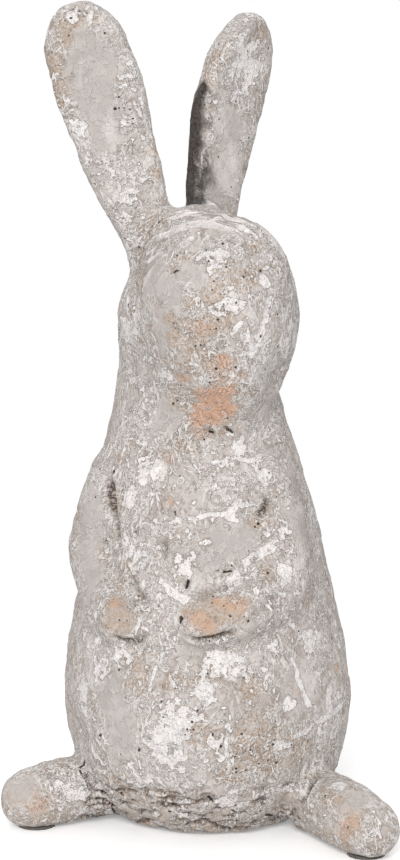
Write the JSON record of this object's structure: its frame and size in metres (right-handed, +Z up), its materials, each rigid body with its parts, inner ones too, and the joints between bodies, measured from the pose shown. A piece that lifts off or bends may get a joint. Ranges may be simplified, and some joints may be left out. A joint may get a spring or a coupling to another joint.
{
  "type": "resin rabbit figurine",
  "caption": "Standing rabbit ornament cast in resin: pear-shaped body, turned head, upright ears, folded arms and splayed feet that it stands on.",
  "frame": {"origin": "on the table, below the middle of the figure's overall box", "axes": "+Z up along the figure, -Y where its body faces, +X to its own left"},
  "size_m": [0.1504, 0.1202, 0.3023],
  "materials": {
    "cast_resin": "matt, washed in white over warm grey, with tan and terracotta patches, pinholes and brush marks",
    "filler_resin": "plain unpainted cast resin",
    "felt": "pressed felt",
    "beech": "plain turned dowel",
    "pin_steel": "drawn wire, cut to length"
  },
  "bodies": {
    "root": {"torso": "cast_resin", "head": "cast_resin", "ear_left": "cast_resin", "ear_right": "cast_resin", "arm_left": "cast_resin", "arm_right": "cast_resin", "foot_left": "cast_resin", "foot_right": "cast_resin", "tail": "cast_resin", "base_plate": "filler_resin", "base_felt": "felt", "foot_felt_left": "felt", "foot_felt_right": "felt", "neck_dowel": "beech", "ear_pin_left": "pin_steel", "ear_pin_right": "pin_steel", "arm_pin_left": "pin_steel", "arm_pin_right": "pin_steel", "foot_pin_left": "pin_steel", "foot_pin_right": "pin_steel", "tail_pin": "pin_steel"}
  },
  "joints": []
}
